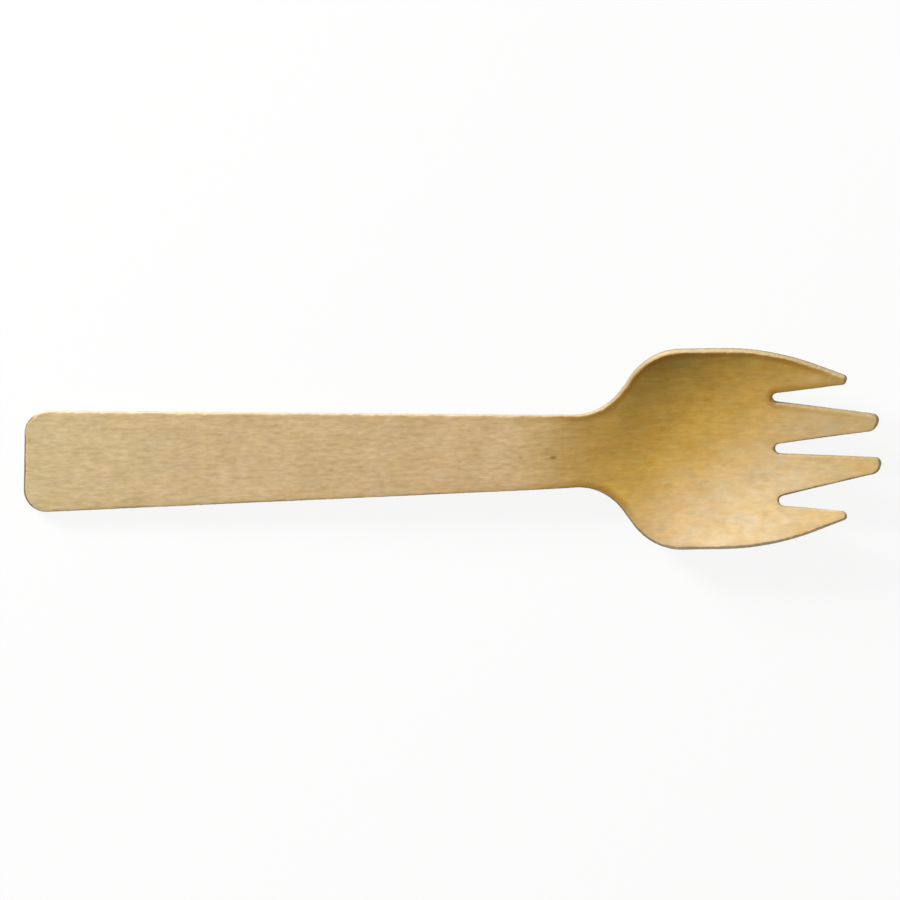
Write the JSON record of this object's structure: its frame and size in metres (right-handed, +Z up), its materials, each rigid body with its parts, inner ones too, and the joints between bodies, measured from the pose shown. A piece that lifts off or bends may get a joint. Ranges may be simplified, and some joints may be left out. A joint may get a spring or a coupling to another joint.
{
  "type": "wooden spork",
  "caption": "Disposable spork die-cut from thin birch veneer: flat tapering handle, rounded shoulders and a shallow pressed bowl whose front is slotted into pointed tines.",
  "frame": {"origin": "middle of the bounding box's underside, on the table that the spork lies on", "axes": "+X along the handle towards the tines, +Z up out of the bowl, +Y to the left of the tines"},
  "size_m": [0.1406, 0.0332, 0.007],
  "materials": {
    "birch": "matte"
  },
  "bodies": {
    "root": {"spork": "birch"}
  },
  "joints": []
}
